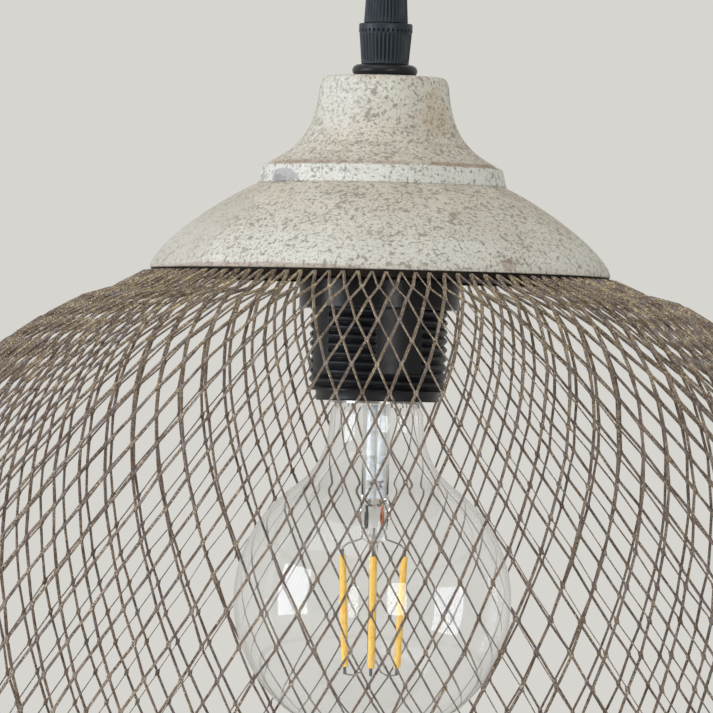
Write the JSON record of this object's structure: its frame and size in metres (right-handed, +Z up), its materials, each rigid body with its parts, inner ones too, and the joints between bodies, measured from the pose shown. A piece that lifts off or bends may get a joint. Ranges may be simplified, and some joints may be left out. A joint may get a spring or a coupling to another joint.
{
  "type": "pendant ceiling light",
  "caption": "Pendant light with a bell-and-dome cap, an open expanded-metal mesh dome shade and a clear LED filament globe bulb that unscrews.",
  "frame": {"origin": "mouth of the cord's bore in the top of the cord grip", "axes": "+Z up along the lamp's axis of revolution; the lamp hangs below the origin"},
  "size_m": [0.3757, 0.3758, 0.2808],
  "materials": {
    "black_plastic": "satin moulded thermoplastic",
    "grey_rubber": "matt",
    "zinc_steel": "zinc plated",
    "brass": "bright",
    "distressed_paint": "matt cream paint, distressed with grey-brown speckles",
    "bronze_mesh": "antique bronze with gold flecks",
    "ceramic": "unglazed steatite",
    "clear_glass": "clear polished",
    "phosphor": "yellow-orange phosphor",
    "lead_wire": "drawn wire",
    "nickel_cap": "nickel plated",
    "black_glass": "glossy black glass",
    "solder": "dull solder",
    "circuit_board": "solder mask"
  },
  "bodies": {
    "lamp": {"cord_grip_nut": "black_plastic", "cord_grip_insert": "grey_rubber", "cord_grip_body": "black_plastic", "grip_bead_ring": "black_plastic", "hollow_nipple": "zinc_steel", "lock_nuts": "zinc_steel", "lock_washers": "zinc_steel", "earth_tag": "brass", "upper_cap": "distressed_paint", "lower_cap": "distressed_paint", "mesh_shade": "bronze_mesh", "shade_carrier": "bronze_mesh", "shade_rim_ring": "bronze_mesh", "lampholder_cap": "black_plastic", "lampholder_body": "black_plastic", "shade_ring": "black_plastic", "lampholder_core": "ceramic", "screw_shell": "brass", "centre_contact": "brass", "shell_contact": "brass", "terminal_blocks": "brass", "terminal_screws": "zinc_steel"},
    "bulb_thread": {"bulb_tip_contact": "solder"},
    "bulb": {"bulb_globe": "clear_glass", "bulb_stem": "clear_glass", "led_filaments": "phosphor", "filament_leads": "lead_wire", "bulb_screw_cap": "nickel_cap", "bulb_insulator": "black_glass", "bulb_driver_board": "circuit_board"}
  },
  "joints": [
    {"name": "bulb_travel", "type": "slide", "parent": "lamp", "child": "bulb_thread", "axis": [0, 0, -1], "range_m": [0, 0.01452]},
    {"name": "bulb_turn", "type": "hinge", "parent": "bulb_thread", "child": "bulb", "pos_m": [0, 0, -0.1855], "axis": [0, 0, -1], "range_deg": [0, 1440]}
  ],
  "couplings": [
    {"joint": "bulb_travel", "follows": "bulb_turn", "m_per_rad": 0.00057757}
  ]
}
